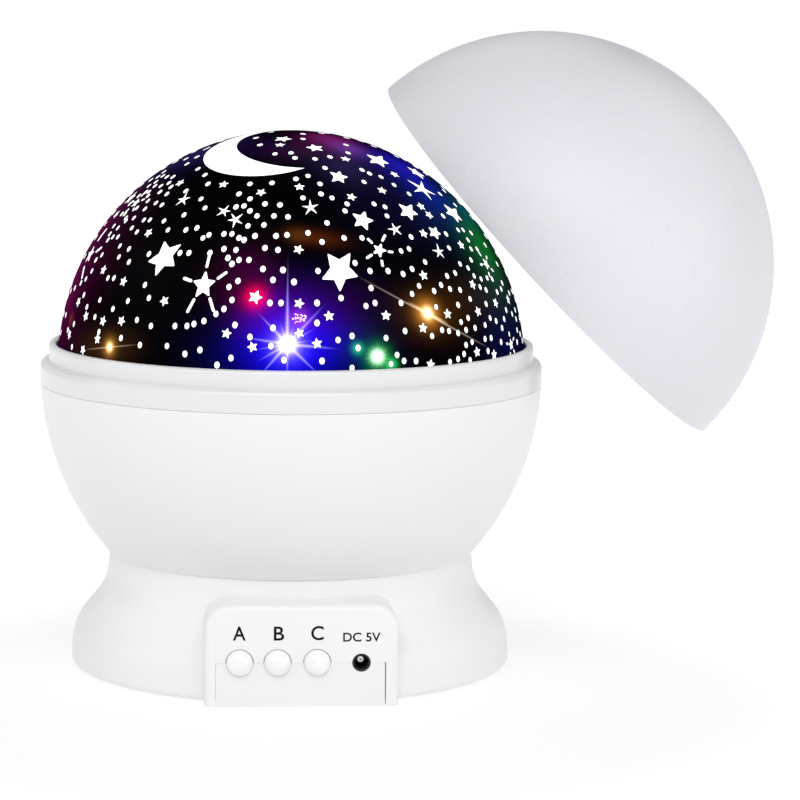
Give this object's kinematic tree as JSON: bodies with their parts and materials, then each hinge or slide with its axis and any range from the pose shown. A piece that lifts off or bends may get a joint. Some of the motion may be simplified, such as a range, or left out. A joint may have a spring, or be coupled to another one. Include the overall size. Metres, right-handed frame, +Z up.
{
  "type": "night light projector",
  "caption": "Night light projector: a printed star dome on a bowl that turns on a flared base with push buttons and a low-voltage socket, with a loose hemispherical diffuser cover.",
  "frame": {"origin": "lamp axis at the standing plane", "axes": "+Z up along the lamp axis, -Y towards the console with the buttons, +X to the right as seen from the front"},
  "size_m": [0.1986, 0.1888, 0.1602],
  "materials": {
    "white_shell": "bright glossy moulded white",
    "white_bottom": "fine satin moulded white",
    "button_white": "glossy white",
    "dome_black": "deep glossy black with a printed white star pattern",
    "cover_satin": "milky satin with a fine grain",
    "black_plastic": "fine matt black",
    "tray_black": "matt black",
    "nylon_natural": "natural nylon, slightly translucent looking",
    "grey_plastic": "satin grey",
    "steel": "zinc plated steel",
    "nickel": "bright nickel",
    "brass": "machined brass",
    "pcb_green": "green solder mask",
    "pcb_white": "white solder mask",
    "cell_jacket": "printed plain jacket with bare metal ends",
    "led_clear": "water clear epoxy",
    "led_red": "red epoxy",
    "led_green": "green epoxy",
    "led_blue": "blue epoxy",
    "wire_insulation": "soft vinyl insulation"
  },
  "bodies": {
    "base": {"base_shell": "white_shell", "bottom_cover": "white_bottom", "bottom_screws": "steel", "battery_1": "cell_jacket", "battery_2": "cell_jacket", "battery_3": "cell_jacket", "battery_4": "cell_jacket", "battery_springs": "nickel", "battery_contacts": "nickel", "control_board": "pcb_green", "control_chip": "black_plastic", "board_screws": "steel", "switch_bodies": "black_plastic", "dc_socket": "black_plastic", "dc_pin": "nickel", "led_post": "white_bottom", "post_screws": "steel", "post_clip": "steel", "led_board": "pcb_white", "led_white": "led_clear", "led_red": "led_red", "led_green": "led_green", "led_blue": "led_blue", "slide_ring": "nylon_natural", "motor_can": "steel", "motor_end_cap": "nylon_natural", "gearbox_case": "grey_plastic", "gearbox_lid": "grey_plastic", "gearbox_screws": "steel", "gear_axles": "steel", "led_wires": "wire_insulation", "motor_wires": "wire_insulation", "battery_wires": "wire_insulation"},
    "door": {"battery_door": "white_bottom"},
    "bowl": {"bowl_shell": "white_shell", "top_ring": "white_shell", "star_dome": "dome_black", "light_tray": "tray_black", "ring_gear": "nylon_natural", "ring_gear_screws": "steel"},
    "output": {"output_shaft": "steel", "output_gear": "nylon_natural", "drive_pinion": "nylon_natural"},
    "idler_1": {"compound_gear_1": "nylon_natural"},
    "idler_2": {"compound_gear_2": "nylon_natural"},
    "rotor": {"motor_shaft": "steel", "motor_pinion": "brass"},
    "key_a": {"button_a": "button_white", "switch_plunger_a": "grey_plastic"},
    "key_b": {"button_b": "button_white", "switch_plunger_b": "grey_plastic"},
    "key_c": {"button_c": "button_white", "switch_plunger_c": "grey_plastic"},
    "cover": {"outer_cover": "cover_satin"}
  },
  "joints": [
    {"name": "bowl_turn", "type": "hinge", "parent": "base", "child": "bowl", "pos_m": [0, 0, 0.03], "axis": [0, 0, 1], "continuous": true},
    {"name": "output_turn", "type": "hinge", "parent": "base", "child": "output", "pos_m": [0, 0.0288, 0.022], "axis": [0, 0, 1], "continuous": true},
    {"name": "idler_1_turn", "type": "hinge", "parent": "base", "child": "idler_1", "pos_m": [-0.01, 0.0288, 0.019], "axis": [0, 0, 1], "continuous": true},
    {"name": "idler_2_turn", "type": "hinge", "parent": "base", "child": "idler_2", "pos_m": [-0.005, 0.02014, 0.018], "axis": [0, 0, 1], "continuous": true},
    {"name": "rotor_turn", "type": "hinge", "parent": "base", "child": "rotor", "pos_m": [0.00366, 0.02514, 0.017], "axis": [0, 0, 1], "continuous": true},
    {"name": "button_a_press", "type": "slide", "parent": "base", "child": "key_a", "axis": [0, 1, 0], "range_m": [0, 0.0005], "stiffness_N_per_m": 300, "springref_m": -0.001},
    {"name": "button_b_press", "type": "slide", "parent": "base", "child": "key_b", "axis": [0, 1, 0], "range_m": [0, 0.0005], "stiffness_N_per_m": 300, "springref_m": -0.001},
    {"name": "button_c_press", "type": "slide", "parent": "base", "child": "key_c", "axis": [0, 1, 0], "range_m": [0, 0.0005], "stiffness_N_per_m": 300, "springref_m": -0.001},
    {"name": "door_hinge", "type": "hinge", "parent": "base", "child": "door", "pos_m": [0, -0.0368, 0.0026], "axis": [-1, 0, 0], "range_deg": [0, 75]},
    {"name": "cover_lift", "type": "slide", "parent": "base", "child": "cover", "axis": [0.7128, -0.1219, 0.6907], "range_m": [0, 0.06]}
  ],
  "couplings": [
    {"joint": "output_turn", "follows": "bowl_turn", "ratio": -5},
    {"joint": "idler_1_turn", "follows": "bowl_turn", "ratio": 20},
    {"joint": "idler_2_turn", "follows": "bowl_turn", "ratio": -80},
    {"joint": "rotor_turn", "follows": "bowl_turn", "ratio": 320}
  ]
}
